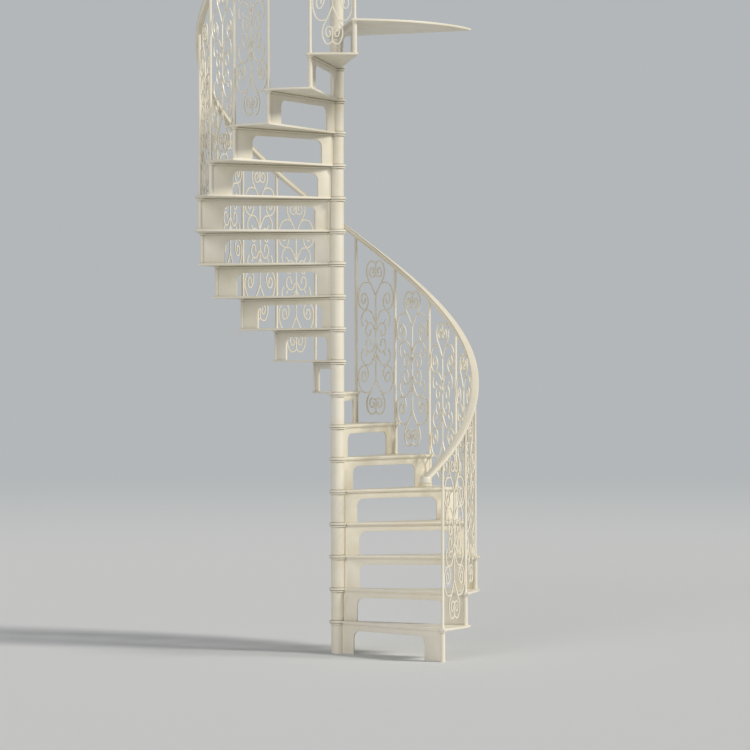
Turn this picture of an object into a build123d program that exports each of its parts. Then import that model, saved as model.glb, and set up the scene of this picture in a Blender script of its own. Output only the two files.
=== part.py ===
from build123d import *
import os
from math import acos, atan, atan2, ceil, cos, degrees, pi, radians, sin, tan

os.makedirs("parts", exist_ok=True)

# Spiral staircase of painted castings: a central column with moulded collars, eighteen steps
# and a landing plate, open risers, and a balustrade with scroll panels under a winding handrail.
# Millimetres and degrees, +Z up, the origin at the middle of the column's foot on the floor.
# The stair climbs anticlockwise seen from above, and the first riser stands at -45 degrees.

# Flight
rise = 208.0
tread_count = 18
step_angle = 17.75
first_riser_angle = -45.0
landing_angle = 60.0

# Treads
tread_thickness = 13.0
tread_rear_margin = 4.0
wedge_reach = 1.5
seat_clearance = 0.3

# The moulding that runs under each tread's front edge, round the column and round the bosses
moulding_reach = 11.0
moulding_height = 15.0
moulding_fillet = 3.0
plate_lip = 3.0

# Central column
column_radius = 42.5
newel_height = 960.0
finial_radius = 56.0
finial_rim_height = 14.0
finial_crown_height = 20.0
finial_crown_radius = 20.0

# Risers
riser_thickness = 12.0
opening_inner_radius = 138.0
opening_outer_radius = 733.0
opening_height = 150.0
opening_corner = 50.0
opening_corner_flats = 4
bead_radius = 9.0
groove_width = 2.0
boss_radius = 13.5

# Balustrade
baluster_circle = 880.0
baluster_radius = 9.0
baluster_foot_radius = 13.0
baluster_foot_height = 14.0
baluster_height = 1028.0

# Handrail
rail_width = 45.0
rail_neck_width = 32.0
rail_shoulder_height = 8.0
rail_side_height = 8.0
rail_crown_height = 11.0
rail_crown_flats = 3
rail_start_overrun = 8.2
rail_end_overrun = 1.5
rail_trim = 2.0
cap_radius = 33.0
cap_height = 45.0
cap_edge_drop = 10.0
cap_flat_distance = 20.0
cap_drop = 10.0
rail_names = ("lower", "middle", "upper")

# Scroll panels
panel_bottom_gap = 46.0
panel_top_gap = 48.0
scroll_bar_width = 9.0
scroll_bar_depth = 8.0
scroll_chord_error = 16.0
blank_bay_period = 9
blank_bay = 8

# Round forms that repeat up the stair are prisms of this many sides
column_sides = 10
baluster_sides = 8
boss_sides = 6
tread_corner_sides = 16

# Sizes that follow from the ones above
landing_number = tread_count + 1
landing_level = rise * landing_number
collar_radius = column_radius + moulding_reach + plate_lip
capital_radius = boss_radius + moulding_reach
tread_corner_radius = capital_radius + plate_lip
tread_radius = baluster_circle + tread_corner_radius
nosing_overhang = riser_thickness / 2 + moulding_reach + plate_lip
rear_overlap = boss_radius + tread_rear_margin
riser_height = rise - tread_thickness
rail_lead = rise / step_angle * 360
rail_slope = atan2(rail_lead, 2 * pi * baluster_circle)
bays = range(1, landing_number)
panel_bays = [bay for bay in bays if bay % blank_bay_period != blank_bay]
panel_height = baluster_height + rise / 2 - panel_bottom_gap - panel_top_gap


def riser_angle(number):
    """Azimuth of a riser and of the front edge of its tread."""
    return first_riser_angle + step_angle * (number - 1)


def step_plane(number, height=0.0):
    """Plane whose X axis runs out along a riser, at a height above that riser's own tread."""
    turn = radians(riser_angle(number))
    return Plane(origin=(0, 0, rise * number + height), x_dir=(cos(turn), sin(turn), 0), z_dir=(0, 0, 1))


def save(part, label):
    """Label one finished piece and write it as its own file."""
    part.label = label
    export_step(part, f"parts/{label}.step")


def narrowing_prism(radius, top_radius, sides, height):
    """Prism with its foot at Z = 0 that narrows evenly to its top, its sides flat."""
    lean = degrees(atan((radius - top_radius) * cos(pi / sides) / height))
    with BuildPart() as prism:
        with BuildSketch():
            RegularPolygon(radius, sides)
        extrude(amount=height, taper=lean)
    return prism.part


def turned_over(centre_x, height):
    """Plane that hangs a piece upside down from a height, over a point on the X axis."""
    return Plane((centre_x, 0, height), x_dir=(1, 0, 0), z_dir=(0, 0, -1))


# Central column with a moulded collar under each tread level
collar_depth = tread_thickness + moulding_height
newel_top = landing_level + newel_height
collar_outer_radius = collar_radius - seat_clearance
collar_moulding = narrowing_prism(collar_outer_radius, column_radius, column_sides, moulding_height)
with BuildPart() as collar:
    with Locations(turned_over(0, -tread_thickness)):
        add(collar_moulding)
    with BuildSketch(Plane.XY.offset(-tread_thickness)):
        RegularPolygon(collar_outer_radius, column_sides)
    extrude(amount=tread_thickness)
with BuildPart() as centre_column:
    with BuildSketch():
        RegularPolygon(column_radius, column_sides)
    extrude(amount=newel_top)
    with Locations(*[(0, 0, rise * number) for number in range(1, landing_number + 1)]):
        add(collar.part)
save(centre_column.part, "centre_column")

# Finial on top of the column: a cap with a low crown
finial_crown = narrowing_prism(finial_radius, finial_crown_radius, column_sides, finial_crown_height)
with BuildPart() as finial:
    with BuildSketch(Plane.XY.offset(newel_top)):
        RegularPolygon(finial_radius, column_sides)
    extrude(amount=finial_rim_height)
    with Locations((0, 0, newel_top + finial_rim_height)):
        add(finial_crown)
save(finial.part, "finial")


def tread_plan(span):
    """Plan of a tread with its riser along X: a wedge between two straight edges, with a rounded
    corner under the baluster."""
    reach = tread_radius * wedge_reach
    turn = radians(span)
    rear = (-rear_overlap * sin(turn), rear_overlap * cos(turn))
    middle = radians(span / 2)
    with BuildSketch() as plan:
        Circle(tread_radius)
        Circle(collar_radius, mode=Mode.SUBTRACT)
        with BuildLine(mode=Mode.PRIVATE) as wedge:
            Polyline(
                (0, -nosing_overhang),
                (reach, -nosing_overhang),
                (reach * cos(middle), reach * sin(middle)),
                (rear[0] + reach * cos(turn), rear[1] + reach * sin(turn)),
                rear,
                close=True,
            )
        make_face(wedge.edges(), mode=Mode.INTERSECT)
        with Locations((baluster_circle, 0)):
            RegularPolygon(tread_corner_radius, tread_corner_sides)
    return plan.sketch


def make_tread(number, span):
    """Plate of one step, its top at the step's level and its inner end against the collar."""
    with BuildPart(step_plane(number)) as tread:
        add(tread_plan(span))
        extrude(amount=-tread_thickness)
    return tread.part


for number in range(1, tread_count + 1):
    save(make_tread(number, step_angle), f"tread_{number:02d}")
save(make_tread(landing_number, landing_angle), "landing_plate")


def opening_outline():
    """Outline of a riser's opening, whose two upper corners are rounded with a few flats."""
    points = [(opening_inner_radius, 0)]
    left = opening_inner_radius + opening_corner
    right = opening_outer_radius - opening_corner
    for centre, first_angle in ((left, pi), (right, pi / 2)):
        for flat in range(opening_corner_flats + 1):
            angle = first_angle - pi / 2 * flat / opening_corner_flats
            height = opening_height - opening_corner + opening_corner * sin(angle)
            points.append((centre + opening_corner * cos(angle), height))
    points.append((opening_outer_radius, 0))
    return points


def make_riser():
    """Open riser along X with its foot at Z = 0: a panel with two legs, a bead beside the column,
    a cornice on its front face and a round boss with a capital at its outer end."""
    bead_centre = column_radius + groove_width + bead_radius
    notch_radius = collar_radius + seat_clearance
    notch_height = rise - collar_depth
    cornice_top = riser_height
    cornice_foot = riser_height - moulding_height
    front = -riser_thickness / 2
    capital = narrowing_prism(capital_radius, boss_radius, boss_sides, moulding_height)
    with BuildPart() as riser:
        with BuildSketch(Plane.XZ):
            with BuildLine():
                Polyline(
                    (bead_centre, 0),
                    (baluster_circle, 0),
                    (baluster_circle, riser_height),
                    (notch_radius, riser_height),
                    (notch_radius, notch_height),
                    (bead_centre, notch_height),
                    close=True,
                )
            make_face()
            with BuildLine():
                Polyline(*opening_outline(), close=True)
            make_face(mode=Mode.SUBTRACT)
        extrude(amount=riser_thickness / 2, both=True)
        with BuildSketch():
            with Locations((bead_centre, 0)):
                RegularPolygon(bead_radius, boss_sides)
        extrude(amount=notch_height)
        with BuildSketch(Plane.YZ.offset(notch_radius)):
            with BuildLine():
                Polyline(
                    (front, cornice_foot),
                    (front - moulding_reach, cornice_top - moulding_fillet),
                    (front - moulding_reach, cornice_top),
                    (front, cornice_top),
                    close=True,
                )
            make_face()
        extrude(amount=baluster_circle - notch_radius)
        with BuildSketch():
            with Locations((baluster_circle, 0)):
                RegularPolygon(boss_radius, boss_sides)
        extrude(amount=riser_height)
        with Locations(turned_over(baluster_circle, riser_height)):
            add(capital)
    return riser.part


riser_master = make_riser()
for number in range(1, landing_number + 1):
    with BuildPart() as riser:
        with Locations(step_plane(number, -rise)):
            add(riser_master)
    save(riser.part, f"riser_{number:02d}")


def rail_underside(angle):
    """Height of the handrail's underside over the baluster circle at an azimuth."""
    return rise + baluster_height + (angle - first_riser_angle) / step_angle * rise


def make_baluster():
    """Round bar with a flared foot, standing at Z = 0 on the baluster circle along X and cut to the
    handrail's slope at its top."""
    cut_run = baluster_radius * 2
    cut_rise = cut_run * tan(rail_slope)
    top = baluster_height - seat_clearance / cos(rail_slope)
    flared_foot = narrowing_prism(baluster_foot_radius, baluster_radius, baluster_sides, baluster_foot_height)
    with BuildPart() as baluster:
        with Locations((baluster_circle, 0)):
            add(flared_foot)
        with BuildSketch(Plane.XY.offset(baluster_foot_height)):
            with Locations((baluster_circle, 0)):
                RegularPolygon(baluster_radius, baluster_sides)
        extrude(amount=baluster_height + cut_rise - baluster_foot_height)
        with BuildSketch(Plane.YZ.offset(baluster_circle - cut_run)):
            with BuildLine():
                Polyline(
                    (-cut_run, top - cut_rise),
                    (cut_run, top + cut_rise),
                    (cut_run, top + 3 * cut_rise),
                    (-cut_run, top + 3 * cut_rise),
                    close=True,
                )
            make_face()
        extrude(amount=2 * cut_run, mode=Mode.SUBTRACT)
    return baluster.part


baluster_master = make_baluster()
with BuildPart() as balusters:
    with Locations(*[step_plane(number) for number in range(1, landing_number + 1)]):
        add(baluster_master)
save(balusters.part, "balusters")


def rail_outline():
    """Section of the handrail across its run: a narrow neck below, wide shoulders, a round crown of
    a few flats."""
    neck = rail_neck_width / 2
    edge = rail_width / 2
    side_top = rail_shoulder_height + rail_side_height
    crown = []
    for step in range(rail_crown_flats + 1):
        turn = pi * step / rail_crown_flats
        crown.append((edge * cos(turn), side_top + rail_crown_height * sin(turn)))
    with BuildLine(mode=Mode.PRIVATE) as outline:
        Polyline(
            (-edge, rail_shoulder_height),
            (-neck, 0),
            (neck, 0),
            (edge, rail_shoulder_height),
            *crown,
            close=True,
        )
    return outline.edges()


def radial_plane(angle):
    """Upright plane through the column's axis at an azimuth, facing up the stair."""
    turn = radians(angle)
    return Plane(origin=(0, 0, 0), x_dir=(cos(turn), sin(turn), 0), z_dir=(-sin(turn), cos(turn), 0))


def make_rail(span):
    """One length of handrail that climbs through an angle from the X axis. It is swept a little too
    long at both ends and cut square to its plan."""
    swept = span + 2 * rail_trim
    with BuildPart() as rail:
        with BuildLine():
            Helix(pitch=rail_lead, height=swept / 360 * rail_lead, radius=baluster_circle)
        tilted = Plane((baluster_circle, 0, 0), x_dir=(-1, 0, 0), z_dir=(0, cos(rail_slope), sin(rail_slope)))
        with BuildSketch(tilted):
            make_face(rail_outline())
        sweep(is_frenet=True)
        split(bisect_by=radial_plane(rail_trim), keep=Keep.TOP)
        split(bisect_by=radial_plane(swept - rail_trim), keep=Keep.BOTTOM)
    return rail.part


rail_first_angle = riser_angle(1) - rail_start_overrun
rail_last_angle = riser_angle(landing_number) + rail_end_overrun
rail_span = (rail_last_angle - rail_first_angle) / len(rail_names)
rail_master = make_rail(rail_span)
for index, name in enumerate(rail_names):
    start_angle = rail_first_angle + index * rail_span - rail_trim
    turn = radians(start_angle)
    foot = (0, 0, rail_underside(start_angle))
    with BuildPart() as rail:
        with Locations(Plane(foot, x_dir=(cos(turn), sin(turn), 0), z_dir=(0, 0, 1))):
            add(rail_master)
    save(rail.part, f"handrail_{name}")


def walk(start, heading, arcs):
    """Points along a chain of arcs that meet smoothly. Each arc is (radius, turn), and a positive
    turn is to the left. Chords stay within scroll_chord_error of the true arc."""
    points = [Vector(*start)]
    direction = radians(heading)
    for radius, turn in arcs:
        side = 1 if turn > 0 else -1
        sweep_angle = radians(turn)
        centre = points[-1] + Vector(-sin(direction), cos(direction)) * (radius * side)
        longest_chord_angle = 2 * acos(1 - scroll_chord_error / radius)
        chords = ceil(abs(sweep_angle) / longest_chord_angle)
        from_centre = direction - side * pi / 2
        for chord in range(1, chords + 1):
            angle = from_centre + sweep_angle * chord / chords
            points.append(centre + Vector(cos(angle), sin(angle)) * radius)
        direction += sweep_angle
    return points


def bar_outline(points):
    """Closed outline of a flat bar of even width that follows a line of points."""
    left = []
    right = []
    last = len(points) - 1
    for index, point in enumerate(points):
        before = (point - points[index - 1]).normalized() if index > 0 else None
        after = (points[index + 1] - point).normalized() if index < last else None
        along = (before or after) + (after or before)
        across = Vector(-along.Y, along.X).normalized()
        reference = before or after
        mitre = abs(across.dot(Vector(-reference.Y, reference.X)))
        half = scroll_bar_width / 2 / mitre
        left.append(point + across * half)
        right.append(point - across * half)
    return left + right[::-1]


# One quarter of a panel as drawn, seen from the column, from its centre bar (x = 0) to a baluster
# and from its middle (y = 0) to its top. Each bar is (start, heading, arcs).
heart = ((0.0, 267.0), 73.0, ((386.0, -16.0), (113.0, 69.0), (23.0, 100.0)))
side_scroll = (
    (82.0, 350.0),
    -10.0,
    ((40.0, -66.0), (171.0, -41.0), (51.0, -59.0), (35.0, 50.0), (196.0, 24.0)),
)
crossing_scroll = ((83.0, 232.0), 29.0, ((35.0, 97.0), (18.0, 116.0), (71.0, 78.0), (73.0, -95.0)))
drawn_bars = [walk(*bar) for bar in (heart, side_scroll, crossing_scroll)]
drawn_half_width = max(point.X for bar in drawn_bars for point in bar)
drawn_half_height = max(point.Y for bar in drawn_bars for point in bar)


def stretched_outlines(across, upward):
    """Outlines of the quarter's bars with the drawing stretched both ways and the bars' width kept."""
    outlines = []
    for bar in drawn_bars:
        outlines.append(bar_outline([Vector(point.X * across, point.Y * upward) for point in bar]))
    return outlines


# The drawing is stretched to the bay, so that the side scrolls just meet the balusters
bay_half_width = baluster_circle * sin(radians(step_angle / 2))
panel_half_width = bay_half_width - baluster_radius - seat_clearance
upward_scale = (panel_height - scroll_bar_width) / 2 / drawn_half_height
first_scale = (panel_half_width - scroll_bar_width / 2) / drawn_half_width
first_reach = max(point.X for outline in stretched_outlines(first_scale, upward_scale) for point in outline)
across_scale = first_scale + (panel_half_width - first_reach) / drawn_half_width
panel_outlines = stretched_outlines(across_scale, upward_scale)
centre_bar_length = 2 * drawn_bars[0][0].Y * upward_scale


def make_panel():
    """Scroll panel in the XY plane, its middle at the origin."""
    with BuildPart() as panel:
        with BuildSketch():
            for outline in panel_outlines:
                with BuildLine():
                    Polyline(*outline, close=True)
                make_face()
            mirror(about=Plane.YZ)
            mirror(about=Plane.XZ)
            Rectangle(scroll_bar_width, centre_bar_length)
        extrude(amount=scroll_bar_depth / 2, both=True)
    return panel.part


def panel_plane(bay):
    """Plane of the panel between the baluster of a tread and the next one."""
    turn = radians(riser_angle(bay) + step_angle / 2)
    chord_distance = baluster_circle * cos(radians(step_angle / 2))
    return Plane(
        origin=(
            chord_distance * cos(turn),
            chord_distance * sin(turn),
            rise * bay + panel_bottom_gap + panel_height / 2,
        ),
        x_dir=(-sin(turn), cos(turn), 0),
        z_dir=(cos(turn), sin(turn), 0),
    )


panel_master = make_panel()
panel_groups = {
    "scroll_panels_lower": [bay for bay in panel_bays if bay < blank_bay],
    "scroll_panels_upper": [bay for bay in panel_bays if bay > blank_bay],
}
for label, group in panel_groups.items():
    with BuildPart() as panels:
        with Locations(*[panel_plane(bay) for bay in group]):
            add(panel_master)
    save(panels.part, label)

# Cap on the lower end of the handrail: an upright disc with sloped edges, flat where it meets the
# rail, its middle a little below the line on which the rail comes down
rail_height = rail_shoulder_height + rail_side_height + rail_crown_height
rail_axis = rail_underside(rail_first_angle) + rail_height / cos(rail_slope) / 2
cap_middle = rail_axis - cap_flat_distance * tan(rail_slope) - cap_drop
with BuildPart() as cap_master:
    with BuildSketch():
        RegularPolygon(cap_radius, column_sides)
    extrude(amount=cap_height / 2, both=True)
    chamfer(cap_master.faces().filter_by(Axis.Z).edges(), cap_edge_drop)
    split(bisect_by=Plane.XZ.offset(-cap_flat_distance + seat_clearance), keep=Keep.TOP)
cap_outward = Vector(cos(radians(rail_first_angle)), sin(radians(rail_first_angle)), 0)
cap_along = Vector(-cap_outward.Y, cap_outward.X, 0)
cap_centre = cap_outward * baluster_circle - cap_along * cap_flat_distance + Vector(0, 0, cap_middle)
with BuildPart() as handrail_cap:
    with Locations(Plane(cap_centre, x_dir=cap_outward, z_dir=(0, 0, 1))):
        add(cap_master.part)
save(handrail_cap.part, "handrail_cap")
print("treads", tread_count, "landing level", landing_level, "top", round(newel_top, 1))
print("panels", len(panel_bays), "rail slope", round(degrees(rail_slope), 2))
print("drawn half width and height", round(drawn_half_width, 2), round(drawn_half_height, 2))
print("stretched by", round(across_scale, 4), round(upward_scale, 4))
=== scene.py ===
# %% [markdown]
# # A spiral staircase of painted castings
#
# The stair is put together from a few castings that repeat: one column, one riser, one tread, one
# baluster, one scroll panel. The solids of the frame already have their sizes and places. Here each
# kind of casting is modelled once in full, with its mouldings and its scrolls, and then set at every
# step, so that it stands exactly where its solid stands.

# %% The frame and the helpers for sizes
from math import asin, atan2, ceil, cos, degrees, pi, radians, sin, tan

import bmesh
import bpy
from mathutils import Matrix, Vector


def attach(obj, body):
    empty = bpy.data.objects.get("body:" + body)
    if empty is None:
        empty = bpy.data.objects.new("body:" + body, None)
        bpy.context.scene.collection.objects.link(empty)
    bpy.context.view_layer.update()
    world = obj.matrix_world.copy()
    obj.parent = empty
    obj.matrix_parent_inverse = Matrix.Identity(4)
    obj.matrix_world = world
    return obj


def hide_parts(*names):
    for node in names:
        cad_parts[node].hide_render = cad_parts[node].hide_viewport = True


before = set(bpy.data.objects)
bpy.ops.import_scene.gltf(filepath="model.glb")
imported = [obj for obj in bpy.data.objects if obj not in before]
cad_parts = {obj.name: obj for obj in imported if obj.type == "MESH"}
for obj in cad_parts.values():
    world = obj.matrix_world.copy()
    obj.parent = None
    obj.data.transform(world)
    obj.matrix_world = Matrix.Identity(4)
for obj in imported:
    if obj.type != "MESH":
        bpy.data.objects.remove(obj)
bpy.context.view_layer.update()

MM = 0.001

# %% [markdown]
# ## The stair's own numbers
#
# A spiral stair is ruled by three numbers: the rise of a step, the angle of a step and the circle on
# which the balusters stand. Everything below is placed from them, in millimetres and degrees, and a
# size is turned to metres only where a mesh is made.

# %% Sizes of the stair
RISE = 208.0
STEP_ANGLE = 17.75
FIRST_ANGLE = -45.0
LANDING_ANGLE = 60.0
LEVELS = 19
PLATE = 13.0
COLUMN_RADIUS = 42.5
COLLAR_RADIUS = 56.2
TREAD_INNER_RADIUS = 56.5
TREAD_RADIUS = 907.5
BALUSTER_CIRCLE = 880.0
NOSING = 20.0
REAR_OVERLAP = 17.5
EAR_RADIUS = 27.5
RISER_HEIGHT = RISE - PLATE
NEWEL_TOP = RISE * LEVELS + 960.0
RAIL_LEAD = RISE / STEP_ANGLE * 360
RAIL_SLOPE = atan2(RAIL_LEAD, 2 * pi * BALUSTER_CIRCLE)


def riser_angle(number):
    """Azimuth of a riser, in degrees."""
    return FIRST_ANGLE + STEP_ANGLE * (number - 1)


def step_matrix(number, height):
    """Matrix that carries a casting made along +X at height 0 to its step, a height above the floor."""
    lift = Matrix.Translation((0, 0, height * MM))
    return lift @ Matrix.Rotation(radians(riser_angle(number)), 4, "Z")


print("rail slope", round(degrees(RAIL_SLOPE), 2), "newel top", NEWEL_TOP)

# %% [markdown]
# ## Paint on cast iron
#
# The castings are iron from a sand mould, primed and brushed with a satin ivory enamel. Two things
# tell the eye that it is painted iron and not plastic. The sand leaves grains of about 2 mm, which
# the paint softens into a faint pebbling. The enamel is never quite even, so its colour and gloss
# drift over a hand's width. Its colour is also darkened in the inside corners, as painted shade.
# The grain is drawn at 3 mm, a little coarser than the real one, so that it shows at all.

# %% Colours and a helper for nodes
IVORY = "E0D9C6"
IVORY_WARM = "D8CDB2"
IVORY_PALE = "E9E5D9"
# Painted shade: the warm dark brown laid into the inside corners.
PAINTED_SHADE_IN_CORNERS = "85775A"
FLOOR_GREY = "DCDEDF"
BACKDROP_GREY = "B3B7B9"


def linear(hex_colour):
    """An sRGB hex colour as linear red, green and blue, and an opacity of 1."""
    channels = [int(hex_colour[i:i + 2], 16) / 255 for i in (0, 2, 4)]
    return tuple(c / 12.92 if c <= 0.04045 else ((c + 0.055) / 1.055) ** 2.4 for c in channels) + (1.0,)


def add_node(tree, kind, values=None, links=None, **settings):
    """Add a node, set its properties and its unlinked inputs, and link its other inputs."""
    node = tree.nodes.new(kind)
    for key, value in settings.items():
        setattr(node, key, value)
    for key, value in (values or {}).items():
        node.inputs[key].default_value = value
    for key, source in (links or {}).items():
        tree.links.new(source, node.inputs[key])
    return node


def new_material(name):
    """An empty node material and its tree."""
    material = bpy.data.materials.new(name)
    material.use_nodes = True
    material.node_tree.nodes.clear()
    return material, material.node_tree


print("ivory as linear values", [round(c, 3) for c in linear(IVORY)])

# %% The sizes of the paint's patterns, in millimetres
GRAIN_SIZE = 3.0
SAG_SIZE = 30.0
SAG_HEIGHT = 0.6
DRIFT_SIZE = 120.0
CLOUD_SIZE = 450.0
# How far the painted shade in the inside corners reaches.
PAINTED_SHADE_REACH = 20.0
print("grain", GRAIN_SIZE, "mm, drift of colour", DRIFT_SIZE, "mm")


# %% The enamel, with more or less of the sand's grain
def enamel(name, grain_height, gloss_low, gloss_high, painted_shade_tone):
    """Satin ivory enamel. Heights are in millimetres, and the painted shade in corners is a share from 0 to
    1.
    """
    material, tree = new_material(name)
    place = {"Vector": add_node(tree, "ShaderNodeTexCoord").outputs["Object"]}
    drift = add_node(
        tree, "ShaderNodeTexNoise", {"Scale": 1 / (DRIFT_SIZE * MM), "Detail": 3.0, "Roughness": 0.55}, place,
    ).outputs["Fac"]
    clouds = add_node(
        tree, "ShaderNodeTexNoise", {"Scale": 1 / (CLOUD_SIZE * MM), "Detail": 2.0}, place,
    ).outputs["Fac"]
    grain = add_node(
        tree, "ShaderNodeTexNoise", {"Scale": 1 / (GRAIN_SIZE * MM), "Detail": 2.0}, place,
    ).outputs["Fac"]
    sag = add_node(
        tree, "ShaderNodeTexNoise", {"Scale": 1 / (SAG_SIZE * MM), "Detail": 1.0}, place,
    ).outputs["Fac"]
    warm_share = add_node(
        tree, "ShaderNodeMapRange", {"From Min": 0.45, "From Max": 0.75, "To Max": 0.45}, {"Value": drift},
    ).outputs["Result"]
    warm = add_node(
        tree, "ShaderNodeMix", {6: linear(IVORY), 7: linear(IVORY_WARM)}, {"Factor": warm_share},
        data_type="RGBA",
    ).outputs[2]
    pale_share = add_node(
        tree, "ShaderNodeMapRange", {"From Min": 0.45, "From Max": 0.7, "To Max": 0.5}, {"Value": clouds},
    ).outputs["Result"]
    pale = add_node(
        tree, "ShaderNodeMix", {7: linear(IVORY_PALE)}, {"Factor": pale_share, 6: warm}, data_type="RGBA",
    ).outputs[2]
    # Painted shade: where ambient occlusion finds an inside corner, the colour is darkened towards a warm
    # brown.
    openness = add_node(
        tree, "ShaderNodeAmbientOcclusion", {"Distance": PAINTED_SHADE_REACH * MM}, samples=6, only_local=True,
    ).outputs["AO"]
    painted_shade_share = add_node(
        tree, "ShaderNodeMapRange", {"From Min": 0.8, "From Max": 0.3, "To Max": painted_shade_tone},
        {"Value": openness},
    ).outputs["Result"]
    colour = add_node(
        tree, "ShaderNodeMix", {7: linear(PAINTED_SHADE_IN_CORNERS)}, {"Factor": painted_shade_share, 6: pale},
        data_type="RGBA",
    ).outputs[2]
    gloss = add_node(
        tree, "ShaderNodeMapRange", {"To Min": gloss_low, "To Max": gloss_high}, {"Value": drift},
    ).outputs["Result"]
    pebbles = add_node(
        tree, "ShaderNodeBump", {"Strength": 0.6, "Distance": grain_height * MM}, {"Height": grain},
    ).outputs["Normal"]
    waves = add_node(
        tree, "ShaderNodeBump", {"Strength": 0.5, "Distance": SAG_HEIGHT * MM},
        {"Height": sag, "Normal": pebbles},
    ).outputs["Normal"]
    shader = add_node(
        tree, "ShaderNodeBsdfPrincipled", {"IOR": 1.5, "Coat Weight": 0.12, "Coat Roughness": 0.2},
        {"Base Color": colour, "Roughness": gloss, "Normal": waves},
    )
    add_node(tree, "ShaderNodeOutputMaterial", links={"Surface": shader.outputs["BSDF"]})
    return material


# The last number of each enamel is how strongly painted shade darkens its inside corners.
enamel_on_casting = enamel(
    "ivory_enamel_on_cast_iron", grain_height=0.5, gloss_low=0.36, gloss_high=0.52, painted_shade_tone=0.8,
)
enamel_on_scrolls = enamel(
    "ivory_enamel_on_scrollwork", grain_height=0.2, gloss_low=0.34, gloss_high=0.48, painted_shade_tone=0.25,
)
enamel_on_rail = enamel(
    "ivory_enamel_on_handrail", grain_height=0.12, gloss_low=0.26, gloss_high=0.38, painted_shade_tone=0.7,
)
print("materials", [m.name for m in bpy.data.materials])

# %% [markdown]
# ## From a bmesh to a piece of the stair
#
# Every casting goes through the same last step. Its doubled vertices are merged and its faces turned
# outwards, it becomes an object that rides on the frame, and the solids it stands for are hidden. The
# shading is smooth on curves and keeps a crisp line where two faces meet at more than 32 degrees.
# Two more helpers serve most castings: one sets a casting at many places, and one turns a form.

# %% Finishing a piece
SHARP = radians(32)
MERGE = 0.02 * MM


def finish_piece(name, bm, material, nodes):
    """Make an object from a bmesh. It stands for some nodes of the frame."""
    bmesh.ops.remove_doubles(bm, verts=bm.verts, dist=MERGE)
    bmesh.ops.recalc_face_normals(bm, faces=bm.faces)
    mesh = bpy.data.meshes.new(name)
    bm.to_mesh(mesh)
    bm.free()
    mesh.materials.append(material)
    mesh.shade_smooth()
    mesh.set_sharp_from_angle(angle=SHARP)
    piece = bpy.data.objects.new(name, mesh)
    bpy.context.scene.collection.objects.link(piece)
    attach(piece, "root")
    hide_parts(*nodes)
    return piece


def count(piece):
    """Triangles of a finished piece."""
    return sum(len(p.vertices) - 2 for p in piece.data.polygons)


print("crisp over", round(degrees(SHARP)), "degrees")


# %% The same casting at many places
def join_copies(masters, matrices):
    """One bmesh that holds every master at every matrix."""
    out = bmesh.new()
    for matrix in matrices:
        for master in masters:
            copy = master.copy()
            bmesh.ops.transform(copy, matrix=matrix, verts=copy.verts)
            scratch = bpy.data.meshes.new("scratch")
            copy.to_mesh(scratch)
            copy.free()
            out.from_mesh(scratch)
            bpy.data.meshes.remove(scratch)
    return out


# %% A turned form
def turn_profile(profile, centre_x=0.0, steps=32):
    """A turned form: a line of (radius, height) points spun round an upright axis."""
    bm = bmesh.new()
    points = [bm.verts.new(((centre_x + r) * MM, 0, z * MM)) for r, z in profile]
    edges = [bm.edges.new(pair) for pair in zip(points, points[1:])]
    bmesh.ops.spin(
        bm, geom=points + edges, cent=(centre_x * MM, 0, 0), axis=(0, 0, 1),
        angle=2 * pi, steps=steps, use_merge=True, use_duplicate=False,
    )
    bmesh.ops.remove_doubles(bm, verts=bm.verts, dist=MERGE)
    bmesh.ops.recalc_face_normals(bm, faces=bm.faces)
    return bm


# %% [markdown]
# ## The moulding
#
# One moulding runs under every tread plate. It follows the front of the riser, turns round the column
# as a collar and round the boss as a capital. Foundries drew it as a cavetto: a small step, a hollow
# quarter round, and a square fillet that the plate rests on. It is written once, as how far it stands
# out and how far it lies below the plate.

# %% The moulding's outline, from below upwards
MOULDING_HEIGHT = 15.0
MOULDING_REACH = 11.0
HOLLOW = 8.0
QUARTER_STEPS = 6


def moulding():
    """Points (out, up) of the cavetto, with the plate's underside at up = 0."""
    start = MOULDING_REACH - 1.0 - HOLLOW
    points = [(0.0, -MOULDING_HEIGHT), (1.6, -MOULDING_HEIGHT), (1.6, -MOULDING_HEIGHT + 2.0)]
    for step in range(QUARTER_STEPS + 1):
        turn = pi - pi / 2 * step / QUARTER_STEPS
        out = start + HOLLOW + HOLLOW * cos(turn)
        up = -MOULDING_HEIGHT + 2.2 + HOLLOW * sin(turn)
        points.append((out, up))
    points += [(MOULDING_REACH, -4.6), (MOULDING_REACH, 0.0)]
    return points


print("moulding points", len(moulding()))

# %% [markdown]
# ## The centre column
#
# The column is a stack of turned sleeves, one for each step. A sleeve ends in a collar of two bands,
# the upper one as thick as a tread plate, and a fine groove lies above, between and below them. A
# turned form is the spin of its outline, so the column is one outline with a collar at each level.

# %% The column
BAND_RADIUS = 51.5
GROOVE_RADIUS = 41.6
MIDDLE_GROOVE_RADIUS = 45.5
collar = [
    (COLUMN_RADIUS, -28.0), (GROOVE_RADIUS, -27.6), (GROOVE_RADIUS, -25.8),
    (BAND_RADIUS - 1.4, -25.4), (BAND_RADIUS, -24.0), (BAND_RADIUS, -17.0), (BAND_RADIUS - 1.2, -15.8),
    (MIDDLE_GROOVE_RADIUS, -15.4), (MIDDLE_GROOVE_RADIUS, -13.4),
    (COLLAR_RADIUS - 1.0, -13.0), (COLLAR_RADIUS, -12.0), (COLLAR_RADIUS, -1.0), (COLLAR_RADIUS - 1.0, 0.0),
    (GROOVE_RADIUS, 0.2), (GROOVE_RADIUS, 2.4), (COLUMN_RADIUS, 3.6),
]
column_outline = [(0.0, 0.0), (COLUMN_RADIUS, 0.0)]
for level in range(1, LEVELS + 1):
    column_outline += [(radius, RISE * level + height) for radius, height in collar]
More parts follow.
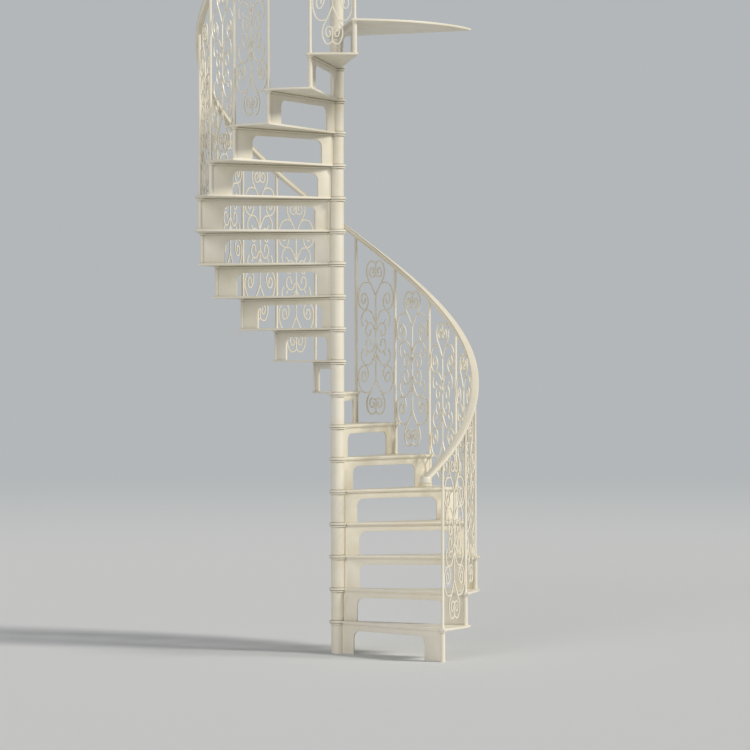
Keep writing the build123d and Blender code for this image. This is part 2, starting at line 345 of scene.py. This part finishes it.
column_outline += [(COLUMN_RADIUS, NEWEL_TOP), (0.0, NEWEL_TOP)]
column_bm = turn_profile(column_outline, steps=48)
column = finish_piece("centre_column_castings", column_bm, enamel_on_casting, ["centre_column"])
print(column.name, count(column))

# %% The finial on top
FINIAL_RADIUS = 56.0
finial_outline = [
    (0, 0), (FINIAL_RADIUS - 1.5, 0), (FINIAL_RADIUS, 1.5), (FINIAL_RADIUS, 8), (FINIAL_RADIUS - 1.5, 9.5),
    (FINIAL_RADIUS - 5, 10), (FINIAL_RADIUS - 6, 12), (46, 17), (38, 22), (31, 25.5),
    (24, 27), (22, 29), (20, 32), (12, 33.6), (0, 34),
]
finial_outline = [(r, z + NEWEL_TOP) for r, z in finial_outline]
finial = finish_piece("column_finial", turn_profile(finial_outline, steps=48), enamel_on_casting, ["finial"])
print(finial.name, count(finial))

# %% [markdown]
# ## The treads
#
# A tread is a flat cast plate: a wedge between two straight edges, with a round ear under each
# baluster. A sector comes from spinning its cut end round the column. Two planes then trim it to the
# nosing and to the rear edge, and a disc makes the ear. The arrises of a casting are never sharp, so
# a bevel rounds them by about a millimetre. The plate's rim and the ear stay a hair inside the solid.

# %% Rounding and trimming
ARRIS = 1.2
HAIR = 0.2
ROUNDED_OVER = 40


def bevel_edges(bm, width):
    """Round the edges of a bmesh where its faces meet at more than a set angle."""
    least = radians(ROUNDED_OVER)
    edges = [e for e in bm.edges if len(e.link_faces) == 2 and e.calc_face_angle() > least]
    bmesh.ops.bevel(
        bm, geom=edges, offset=width * MM, offset_type="OFFSET",
        segments=2, profile=0.5, affect="EDGES", material=-1,
    )


def trim(bm, point, normal, near=lambda vert: True):
    """Cut away what lies beyond a plane and close the cut, where the vertices are near it."""
    everything = bm.verts[:] + bm.edges[:] + bm.faces[:]
    geom = [part for part in everything if all(near(vert) for vert in getattr(part, "verts", (part,)))]
    cut = bmesh.ops.bisect_plane(
        bm, geom=geom, dist=0.001 * MM, plane_co=point, plane_no=normal, clear_outer=True,
    )
    rim = [e for e in cut["geom_cut"] if isinstance(e, bmesh.types.BMEdge)]
    bmesh.ops.holes_fill(bm, edges=rim, sides=0)


print("arrises of", ARRIS, "mm, where faces meet at more than", ROUNDED_OVER, "degrees")


# %% The plate, spun well past both of its edges and then trimmed to them
SPIN_MARGIN = 35.0
SPIN_STEP = 1.5


def tread_master(span):
    """The plate of a step whose front edge lies along +X, with its top at height 0."""
    bm = bmesh.new()
    inner, outer = TREAD_INNER_RADIUS, TREAD_RADIUS - HAIR
    section = [(inner, 0), (outer, 0), (outer, -PLATE), (inner, -PLATE)]
    corners = [bm.verts.new((r * MM, 0, z * MM)) for r, z in section]
    edges = [bm.edges.new((corners[i], corners[(i + 1) % 4])) for i in range(4)]
    bmesh.ops.rotate(bm, verts=corners, cent=(0, 0, 0), matrix=Matrix.Rotation(radians(-SPIN_MARGIN), 3, "Z"))
    sweep = span + 2 * SPIN_MARGIN
    bmesh.ops.spin(
        bm, geom=corners + edges, cent=(0, 0, 0), axis=(0, 0, 1), angle=radians(sweep),
        steps=ceil(sweep / SPIN_STEP), use_duplicate=False,
    )
    bmesh.ops.holes_fill(bm, edges=[e for e in bm.edges if e.is_boundary], sides=0)
    bmesh.ops.recalc_face_normals(bm, faces=bm.faces)
    trim(bm, (0, -NOSING * MM, 0), (0, -1, 0))
    turn = radians(span)
    rear = Vector((-sin(turn), cos(turn), 0))
    trim(bm, rear * REAR_OVERLAP * MM, rear)
    bevel_edges(bm, ARRIS)
    return bm


step_plate = tread_master(STEP_ANGLE)
landing_plate = tread_master(LANDING_ANGLE)
print("faces of a plate", len(step_plate.faces), "and of the landing", len(landing_plate.faces))


# %% The ears, and all the treads
def ear_master():
    """The round ear of a tread plate, under the baluster. It lies a hair below the plate's faces, so
    that no two faces share a plane."""
    r, top, foot = EAR_RADIUS - HAIR, -HAIR, HAIR - PLATE
    outline = [(0, foot), (r - ARRIS, foot), (r, foot + ARRIS), (r, top - ARRIS), (r - ARRIS, top), (0, top)]
    return turn_profile(outline, BALUSTER_CIRCLE, steps=36)


ear = ear_master()
for number in range(1, LEVELS):
    bm = join_copies([step_plate, ear], [step_matrix(number, RISE * number)])
    tread = finish_piece(f"tread_casting_{number:02d}", bm, enamel_on_casting, [f"tread_{number:02d}"])
bm = join_copies([landing_plate, ear], [step_matrix(LEVELS, RISE * LEVELS)])
landing = finish_piece("landing_casting", bm, enamel_on_casting, ["landing_plate"])
print("treads", count(tread), "landing", count(landing))

# %% [markdown]
# ## The risers
#
# A riser is a cast panel with two legs, like a low doorway. Its face is drawn from a few corners, the
# two upper corners of the opening are rounded by a vertex bevel of 50 mm, and the face is then
# extruded to the panel's thickness. Beside the column stands a half-sunk bead with a fine groove. The
# moulding runs along the front and a plain fillet along the back, and a round boss with its own
# capital closes the outer end.

# %% The panel of a riser
RISER_THICKNESS = 12.0
OPENING_INNER = 138.0
OPENING_OUTER = 733.0
OPENING_HEIGHT = 150.0
OPENING_CORNER = 50.0
PANEL_ARRIS = 2.0


def riser_panel():
    """The open panel, its foot at height 0."""
    front = -RISER_THICKNESS / 2
    outline = [
        (COLUMN_RADIUS, 0), (OPENING_INNER, 0), (OPENING_INNER, OPENING_HEIGHT),
        (OPENING_OUTER, OPENING_HEIGHT), (OPENING_OUTER, 0), (BALUSTER_CIRCLE, 0),
        (BALUSTER_CIRCLE, RISER_HEIGHT), (COLUMN_RADIUS, RISER_HEIGHT),
    ]
    bm = bmesh.new()
    verts = [bm.verts.new((x * MM, front * MM, z * MM)) for x, z in outline]
    bm.faces.new(verts)
    bmesh.ops.bevel(
        bm, geom=verts[2:4], offset=OPENING_CORNER * MM, offset_type="OFFSET",
        segments=8, profile=0.5, affect="VERTICES", material=-1,
    )
    grown = bmesh.ops.extrude_face_region(bm, geom=bm.faces[:])
    moved = [v for v in grown["geom"] if isinstance(v, bmesh.types.BMVert)]
    bmesh.ops.translate(bm, verts=moved, vec=(0, RISER_THICKNESS * MM, 0))
    bmesh.ops.recalc_face_normals(bm, faces=bm.faces)
    bevel_edges(bm, PANEL_ARRIS)
    return bm


panel = riser_panel()
print("faces of a riser's panel", len(panel.faces))


# %% The moulding along the front of a riser and the fillet along its back
STRIP_START = 57.0
SUNK = 1.0


def strip_along(outline):
    """A strip along the panel, from its outline of (y, height) points."""
    bm = bmesh.new()
    face = bm.faces.new([bm.verts.new((STRIP_START * MM, y * MM, z * MM)) for y, z in outline])
    grown = bmesh.ops.extrude_face_region(bm, geom=[face])
    moved = [v for v in grown["geom"] if isinstance(v, bmesh.types.BMVert)]
    bmesh.ops.translate(bm, verts=moved, vec=((BALUSTER_CIRCLE - STRIP_START) * MM, 0, 0))
    bmesh.ops.recalc_face_normals(bm, faces=bm.faces)
    return bm


def riser_moulding():
    """The moulding along the front of the panel, with its back sunk a little into it."""
    front = -RISER_THICKNESS / 2
    outline = [(front - out, RISER_HEIGHT + up) for out, up in moulding()]
    outline += [(front + SUNK, RISER_HEIGHT), (front + SUNK, RISER_HEIGHT - MOULDING_HEIGHT)]
    return strip_along(outline)


def riser_fillet():
    """The plain fillet along the back of the panel, with a fine line above and below it."""
    back = RISER_THICKNESS / 2
    outline = [
        (-SUNK, -13.6), (4.8, -13.4), (6.6, -12.0), (6.9, -8.5), (6.6, -5.0), (4.8, -3.6), (-SUNK, -3.4),
    ]
    return strip_along([(back + out, RISER_HEIGHT + up) for out, up in outline])


strips = [riser_moulding(), riser_fillet()]
print("faces of the moulding and the fillet", [len(strip.faces) for strip in strips])


# %% The bead and the boss of a riser, and all the risers
BEAD_CENTRE = 53.5
BEAD_RADIUS = 9.0
BEAD_HEIGHT = 180.0
BOSS_RADIUS = 14.2


def riser_bead():
    """The bead beside the column."""
    r, h = BEAD_RADIUS, BEAD_HEIGHT
    outline = [(0, 0), (r - 1, 0), (r, 1), (r, h - 1), (r - 1, h), (0, h)]
    return turn_profile(outline, BEAD_CENTRE, steps=24)


def riser_boss():
    """The round boss under the baluster, with a small foot, a ring at its neck and the moulding as
    its capital."""
    r, h = BOSS_RADIUS, RISER_HEIGHT
    foot = [(0, 0), (r + 1.6, 0), (r + 2.4, 0.8), (r + 2.4, 3.2), (r + 1.2, 4.6), (r, 6.4)]
    ring = [(r, h - 22), (r + 1.6, h - 21.2), (r + 2.2, h - 19.6), (r + 1.6, h - 18), (r, h - 17.2)]
    capital = [(r + out, h + up) for out, up in moulding()]
    return turn_profile(foot + ring + capital + [(0, h)], BALUSTER_CIRCLE, steps=28)


riser_parts = [panel, *strips, riser_bead(), riser_boss()]
for number in range(1, LEVELS + 1):
    bm = join_copies(riser_parts, [step_matrix(number, RISE * (number - 1))])
    riser = finish_piece(f"riser_casting_{number:02d}", bm, enamel_on_casting, [f"riser_{number:02d}"])
print("riser", count(riser))

# %% [markdown]
# ## The balusters
#
# A baluster is a plain round bar in a small turned socket. It is the spin of one outline, and its top
# is cut to the slope of the handrail, so that it meets the rail's underside without a gap.

# %% The balusters
BALUSTER_RADIUS = 9.0
BALUSTER_HEIGHT = 1028.0
BALUSTER_SPARE = 20.0
RAIL_CLEARANCE = 0.3


def baluster_master():
    """A baluster with its foot at height 0."""
    r = BALUSTER_RADIUS
    top = BALUSTER_HEIGHT + BALUSTER_SPARE
    outline = [
        (0, 0), (12.4, 0), (13, 0.8), (13, 3.4), (12.4, 4.2), (11.2, 4.6), (10.6, 6),
        (10.9, 8.4), (10.9, 10), (10.3, 11.6), (r + 0.4, 12.6), (r, 14), (r, top), (0, top),
    ]
    bm = turn_profile(outline, BALUSTER_CIRCLE, steps=20)
    cut = (BALUSTER_CIRCLE * MM, 0, (BALUSTER_HEIGHT - RAIL_CLEARANCE) * MM)
    trim(bm, cut, (0, -sin(RAIL_SLOPE), cos(RAIL_SLOPE)))
    return bm


levels = range(1, LEVELS + 1)
bm = join_copies([baluster_master()], [step_matrix(n, RISE * n) for n in levels])
balusters = finish_piece("baluster_bars", bm, enamel_on_casting, ["balusters"])
print(balusters.name, count(balusters))

# %% [markdown]
# ## The scroll panels
#
# A smith makes a scroll by bending a flat bar round one former after another, each with its own
# radius. The same is done here: the bar's cross-section is spun round the centre of each former in
# turn, and the end of one bend is the start of the next. A bend is a radius and an angle, to the left
# if positive. Only a quarter of the panel is bent. Mirrored twice, it gives the hearts at both ends,
# the side scrolls that touch the balusters, and the crossing scrolls round the middle.
#
# A tight bend takes a step of 11 degrees. A wide one takes steps of 10 mm along the bar, or of
# 2 degrees where that is more.

# %% Bending a bar
BAR_WIDTH = 9.0
BAR_CHAMFER = 1.4
BEND_STEP = 11.0
WIDE_BEND = 120.0
WIDE_CHORD = 10.0
WIDE_STEP = 2.0


def bend_steps(radius, turn):
    """How many steps a bend takes."""
    if radius < WIDE_BEND:
        return ceil(abs(turn) / BEND_STEP)
    return ceil(abs(turn) / max(degrees(2 * asin(WIDE_CHORD / 2 / radius)), WIDE_STEP))


def bent_bar(start, heading, bends, width, depth):
    """A flat bar in the XY plane that starts at a point and follows a chain of bends."""
    bm = bmesh.new()
    direction = radians(heading)
    place = Vector((start[0], start[1], 0)) * MM
    across = Vector((-sin(direction), cos(direction), 0))
    half, thick, chamfer = width / 2 * MM, depth / 2 * MM, BAR_CHAMFER * MM
    corners = []
    for a, b in ((1, 1), (-1, 1), (-1, -1), (1, -1)):
        pair = [(a * (half - chamfer), b * thick), (a * half, b * (thick - chamfer))]
        corners += pair if a * b < 0 else pair[::-1]
    verts = [bm.verts.new(place + across * u + Vector((0, 0, w))) for u, w in corners]
    edges = [bm.edges.new((verts[i], verts[(i + 1) % len(verts)])) for i in range(len(verts))]
    geom = verts + edges
    for radius, turn in bends:
        side = 1 if turn > 0 else -1
        across = Vector((-sin(direction), cos(direction), 0))
        centre = place + across * (side * radius * MM)
        done = bmesh.ops.spin(
            bm, geom=geom, cent=centre, axis=(0, 0, 1), angle=radians(turn),
            steps=bend_steps(radius, turn), use_duplicate=False,
        )
        geom = done["geom_last"]
        place = centre + Matrix.Rotation(radians(turn), 3, "Z") @ (place - centre)
        direction += radians(turn)
    bmesh.ops.holes_fill(bm, edges=[e for e in bm.edges if e.is_boundary], sides=0)
    bmesh.ops.recalc_face_normals(bm, faces=bm.faces)
    return bm, place / MM, degrees(direction)


print("steps of a quarter turn", bend_steps(50, 90), "and of a wide one", bend_steps(200, 90))

# %% The bars of a quarter panel, from the centre bar outwards and from the middle upwards
# Each bar has the point where it starts, its heading there, its bends and its depth.
CENTRE_BAR = 274.0
quarter = {
    "heart": ((0, CENTRE_BAR), 72, ((620, -11), (118, 60), (21, 78), (34, 53)), 8.0),
    "heart_spiral": ((0, 490), 270, ((1900, 2), (19, 151), (43, 69), (7, 95), (25, 88)), 7.6),
    "side_scroll": ((38, 361), 35, ((44, -98), (172, -42), (54, -75), (125, -3), (27, 61), (213, 20)), 7.8),
    "crossing_scroll": ((72, 265), 254, ((40, 52), (7, 113), (58, 58), (13, 113), (81, 85), (84, -77)), 7.4),
    "small_curl": ((7, 48), 73, ((182, -14), (18, -112), (68, -67), (10, -122), (62, -38)), 7.2),
    "spur": ((57, 95), 75, ((84, -20),), 7.0),
}
bars = []
for name, (start, heading, bends, depth) in quarter.items():
    bar, end, last = bent_bar(start, heading, bends, BAR_WIDTH, depth)
    reach = max(v.co.x for v in bar.verts) / MM
    print(name, "ends at", round(end.x, 1), round(end.y, 1), "heading", round(last), "reach", round(reach, 1))
    bars.append(bar)

# %% A whole panel
LEFT_THINNER = 0.98
SPINE_DEPTH = 8.2
SPINE_RUN_ON = 8.0


def panel_master():
    """Both mirrors of the quarter, and the centre bar. The bars on the left are a hair thinner, so
    that no two faces share a plane where they cross."""
    sides = ((1, 1), (-1, LEFT_THINNER))
    bm = join_copies(bars, [Matrix.Diagonal((x, y, thinner, 1)) for x, thinner in sides for y in (1, -1)])
    bmesh.ops.recalc_face_normals(bm, faces=bm.faces)
    spine = bmesh.new()
    bmesh.ops.create_cube(spine, size=1.0)
    spine_size = Vector((BAR_WIDTH, 2 * (CENTRE_BAR + SPINE_RUN_ON), SPINE_DEPTH)) * MM
    bmesh.ops.scale(spine, vec=spine_size, verts=spine.verts)
    bevel_edges(spine, BAR_CHAMFER)
    scratch = bpy.data.meshes.new("scratch")
    spine.to_mesh(scratch)
    spine.free()
    bm.from_mesh(scratch)
    bpy.data.meshes.remove(scratch)
    return bm


master = panel_master()
print("faces of a panel", len(master.faces))

# %% The panels in their bays
PANEL_BOTTOM_GAP = 46.0
PANEL_TOP_GAP = 48.0
PANEL_HEIGHT = BALUSTER_HEIGHT + RISE / 2 - PANEL_BOTTOM_GAP - PANEL_TOP_GAP
BLANK_BAYS = (8, 17)


def panel_matrix(bay):
    """Matrix that stands a panel up between the baluster of a tread and the next one."""
    turn = riser_angle(bay) + STEP_ANGLE / 2
    out = BALUSTER_CIRCLE * cos(radians(STEP_ANGLE / 2))
    height = RISE * bay + PANEL_BOTTOM_GAP + PANEL_HEIGHT / 2
    upright = Matrix.Rotation(radians(90), 4, "X")
    facing = Matrix.Rotation(radians(turn + 90), 4, "Z")
    place = (out * cos(radians(turn)) * MM, out * sin(radians(turn)) * MM, height * MM)
    return Matrix.Translation(place) @ facing @ upright


lower_bays = range(1, BLANK_BAYS[0])
upper_bays = [bay for bay in range(BLANK_BAYS[0] + 1, LEVELS) if bay not in BLANK_BAYS]
for name, bays in (("lower", lower_bays), ("upper", upper_bays)):
    bm = join_copies([master], [panel_matrix(bay) for bay in bays])
    panels = finish_piece(f"scrollwork_{name}", bm, enamel_on_scrolls, [f"scroll_panels_{name}"])
    print(panels.name, "bays", list(bays), count(panels))

# %% [markdown]
# ## The handrail
#
# The rail is one moulded section carried up a helix: a broad, slightly swelling side, a fine groove
# above it that draws a dark line, and a thin lip under a low crown. A spin that also climbs makes a
# helix, so the section turns round the column's axis and rises a little with each step of the spin.
# It runs a little way into the cap below, and past its upper end, where a plane then cuts it upright.

# %% The rail's section and its climb
RAIL_FOOT = RISE + BALUSTER_HEIGHT
RAIL_START = riser_angle(1) - 8.2
RAIL_END = riser_angle(LEVELS) + 1.3
CROWN_HALF = 21.7
CROWN_FOOT = 25.2
CROWN_RISE = 1.8
CROWN_STEPS = 16
RAIL_HEIGHT = CROWN_FOOT + CROWN_RISE


def rail_underside(angle):
    """Height of the rail's underside over the baluster circle."""
    return RAIL_FOOT + (angle - FIRST_ANGLE) / 360 * RAIL_LEAD


def rail_section():
    """Points (across, up) round the section. It hangs 5 mm over the balusters' tops."""
    side = [
        (14.0, -5.0), (16.6, -4.4), (19.4, -2.2), (21.3, 1.2),
        (22.2, 5.4), (22.5, 10.4), (22.3, 15.6), (21.6, 19.8),
    ]
    quirk = [(19.6, 20.4), (19.6, 21.8)]
    lip = [(21.9, 22.3), (22.5, 23.2), (22.5, 24.2), (CROWN_HALF, CROWN_FOOT)]
    turns = [step * pi / CROWN_STEPS for step in range(1, CROWN_STEPS)]
    crown = [(CROWN_HALF * cos(turn), CROWN_FOOT + CROWN_RISE * sin(turn)) for turn in turns]
    half = side + quirk + lip
    return half + crown + [(-x, z) for x, z in reversed(half)]


print("rail from", RAIL_START, "to", RAIL_END, "degrees,", len(rail_section()), "points round it")

# %% The rail, spun up its helix. Its angles are in degrees
RUN_INTO_CAP = 1.8
RUN_PAST_END = 2.0
RAIL_STEP = 2.0
NEAR_END = 4.0


def handrail_master():
    """The whole rail, whose lower end runs on into the cap and whose upper end is cut upright."""
    bm = bmesh.new()
    start, end = RAIL_START - RUN_INTO_CAP, RAIL_END + RUN_PAST_END
    foot = rail_underside(start)
    verts = []
    for across, up in rail_section():
        back, rise = -sin(RAIL_SLOPE) * up, cos(RAIL_SLOPE) * up
        verts.append(bm.verts.new(((BALUSTER_CIRCLE + across) * MM, back * MM, (foot + rise) * MM)))
    edges = [bm.edges.new((verts[i], verts[(i + 1) % len(verts)])) for i in range(len(verts))]
    bmesh.ops.rotate(bm, verts=verts, cent=(0, 0, 0), matrix=Matrix.Rotation(radians(start), 3, "Z"))
    steps = ceil((end - start) / RAIL_STEP)
    climb = (end - start) / 360 * RAIL_LEAD / steps
    bmesh.ops.spin(
        bm, geom=verts + edges, cent=(0, 0, 0), axis=(0, 0, 1), dvec=(0, 0, climb * MM),
        angle=radians(end - start), steps=steps, use_duplicate=False,
    )
    bmesh.ops.holes_fill(bm, edges=[e for e in bm.edges if e.is_boundary], sides=0)
    bmesh.ops.recalc_face_normals(bm, faces=bm.faces)
    turn = radians(RAIL_END)
    near_end = rail_underside(RAIL_END - NEAR_END) * MM
    trim(bm, (0, 0, 0), (-sin(turn), cos(turn), 0), lambda vert: vert.co.z > near_end)
    return bm


rail_nodes = ["handrail_lower", "handrail_middle", "handrail_upper"]
handrail = finish_piece("winding_handrail", handrail_master(), enamel_on_rail, rail_nodes)
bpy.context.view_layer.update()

# %% The turned cap at the rail's lower end
CAP_RADIUS = 33.0
CAP_HALF = 22.5
CAP_ROUND = 10.0
CAP_DISTANCE = 20.0
CAP_DROP = 10.0
cap_outline = [(0, -CAP_HALF)]
for step in range(QUARTER_STEPS + 1):
    turn = -pi / 2 + pi / 2 * step / QUARTER_STEPS
    radius = CAP_RADIUS - CAP_ROUND + CAP_ROUND * cos(turn)
    cap_outline.append((radius, -CAP_HALF + CAP_ROUND + CAP_ROUND * sin(turn)))
cap_outline += [(r, -z) for r, z in reversed(cap_outline)]
cap_bm = turn_profile(cap_outline, BALUSTER_CIRCLE, steps=40)
rail_middle = rail_underside(RAIL_START) + RAIL_HEIGHT / cos(RAIL_SLOPE) / 2
cap_height = rail_middle - CAP_DISTANCE * tan(RAIL_SLOPE) - CAP_DROP
cap_turn = Matrix.Rotation(radians(RAIL_START), 4, "Z")
cap_place = Matrix.Translation((0, -CAP_DISTANCE * MM, cap_height * MM))
bmesh.ops.transform(cap_bm, matrix=cap_turn @ cap_place, verts=cap_bm.verts)
cap = finish_piece("handrail_end_cap", cap_bm, enamel_on_rail, ["handrail_cap"])
print(cap.name, count(cap))

# %% [markdown]
# ## The floor and the backdrop
#
# The floor is a plain pale sheet that takes the stair's shadow. It fades with distance into the pale
# grey that the camera sees behind the stair, so that no horizon shows.

# %% The floor, with its sizes in metres
FLOOR_RADIUS = 60.0
FADE_FROM = 8.0
FADE_TO = 30.0


def plain_floor():
    """A matt floor that turns into the backdrop's colour as it goes away."""
    material, tree = new_material("pale_matt_floor")
    matt = add_node(tree, "ShaderNodeBsdfPrincipled", {"Base Color": linear(FLOOR_GREY), "Roughness": 0.85})
    far = add_node(tree, "ShaderNodeEmission", {"Color": linear(BACKDROP_GREY), "Strength": 1.0})
    place = add_node(tree, "ShaderNodeTexCoord").outputs["Object"]
    away = add_node(tree, "ShaderNodeVectorMath", {}, {0: place}, operation="LENGTH")
    share = add_node(
        tree, "ShaderNodeMapRange", {"From Min": FADE_FROM, "From Max": FADE_TO},
        {"Value": away.outputs["Value"]}, interpolation_type="SMOOTHSTEP",
    )
    both = add_node(tree, "ShaderNodeMixShader", {}, {
        "Fac": share.outputs["Result"], 1: matt.outputs["BSDF"], 2: far.outputs["Emission"],
    })
    add_node(tree, "ShaderNodeOutputMaterial", links={"Surface": both.outputs[0]})
    bm = bmesh.new()
    bmesh.ops.create_circle(bm, cap_ends=True, segments=96, radius=FLOOR_RADIUS)
    mesh = bpy.data.meshes.new("floor")
    bm.to_mesh(mesh)
    bm.free()
    mesh.materials.append(material)
    floor = bpy.data.objects.new("floor", mesh)
    bpy.context.scene.collection.objects.link(floor)
    return floor


print(plain_floor().name, "of", FLOOR_RADIUS, "m, fading from", FADE_FROM, "to", FADE_TO, "m")


# %% The world
def studio_world(strength):
    """A soft white world, seen by the camera and in reflections as the backdrop's grey."""
    world = bpy.data.worlds.new("studio")
    world.use_nodes = True
    tree = world.node_tree
    tree.nodes.clear()
    path = add_node(tree, "ShaderNodeLightPath").outputs
    seen = add_node(
        tree, "ShaderNodeMath", {}, {0: path["Is Camera Ray"], 1: path["Is Glossy Ray"]}, operation="MAXIMUM",
    )
    seen_all = add_node(
        tree, "ShaderNodeMath", {}, {0: seen.outputs[0], 1: path["Is Transmission Ray"]}, operation="MAXIMUM",
    )
    light = add_node(tree, "ShaderNodeBackground", {"Color": (1, 1, 1, 1), "Strength": strength})
    backdrop = add_node(tree, "ShaderNodeBackground", {"Color": linear(BACKDROP_GREY), "Strength": 1.0})
    both = add_node(tree, "ShaderNodeMixShader", {}, {
        "Fac": seen_all.outputs[0], 1: light.outputs[0], 2: backdrop.outputs[0],
    })
    add_node(tree, "ShaderNodeOutputWorld", links={"Surface": both.outputs[0]})
    bpy.context.scene.world = world
    return world


print("world", studio_world(strength=0.22).name)

# %% [markdown]
# ## The lamps
#
# The stair is lit evenly from foot to top, as by daylight, so both lamps are far ones: a broad key
# from the right and a weaker one from the front left. The column then turns from a shaded left side
# to a bright right side, and the scrolls at the back are lit as well.

# %% Lamps
def far_lamp(name, azimuth, height, strength, spread, colour):
    """A broad, distant lamp that shines from an azimuth and a height, both in degrees."""
    data = bpy.data.lights.new(name, "SUN")
    data.energy = strength
    data.angle = radians(spread)
    data.color = linear(colour)[:3]
    lamp = bpy.data.objects.new(name, data)
    lamp.rotation_euler = (0, radians(90 - height), radians(azimuth))
    bpy.context.scene.collection.objects.link(lamp)


far_lamp("window_light", azimuth=-22.0, height=32.0, strength=2.6, spread=12.0, colour="FFFCF6")
far_lamp("room_light", azimuth=-118.0, height=14.0, strength=1.2, spread=40.0, colour="FBFBFF")

# %% [markdown]
# ## The camera
#
# The photograph was taken with a long lens from almost 19 m, at the height of the ninth step, and
# nearly level, so that the column stays upright. The place, the turn and the lens were found by
# fitting some hundred points of the stair, and need no shift of the picture.

# %% Camera, placed in metres and turned in degrees
CAMERA_PLACE = (-0.853, -18.762, 1.888)
CAMERA_TURN = -3.334
CAMERA_DIP = -0.341
CAMERA_LEAN = -0.104
FOCAL_PIXELS = 2937.9
IMAGE_PIXELS = 750.0
SENSOR = 36.0
camera_data = bpy.data.cameras.new("camera")
camera_data.sensor_width = SENSOR
camera_data.lens = FOCAL_PIXELS / IMAGE_PIXELS * SENSOR
camera_data.clip_end = 3000.0
camera = bpy.data.objects.new("camera", camera_data)
turn = Matrix.Rotation(radians(CAMERA_TURN), 3, "Z")
dip = Matrix.Rotation(radians(90 + CAMERA_DIP), 3, "X")
lean = Matrix.Rotation(radians(CAMERA_LEAN), 3, "Z")
camera.location = CAMERA_PLACE
camera.rotation_euler = (turn @ dip @ lean).to_euler()
bpy.context.scene.collection.objects.link(camera)
bpy.context.scene.camera = camera
bpy.context.scene.view_settings.view_transform = "Standard"
print("lens", round(camera_data.lens, 1), "mm")
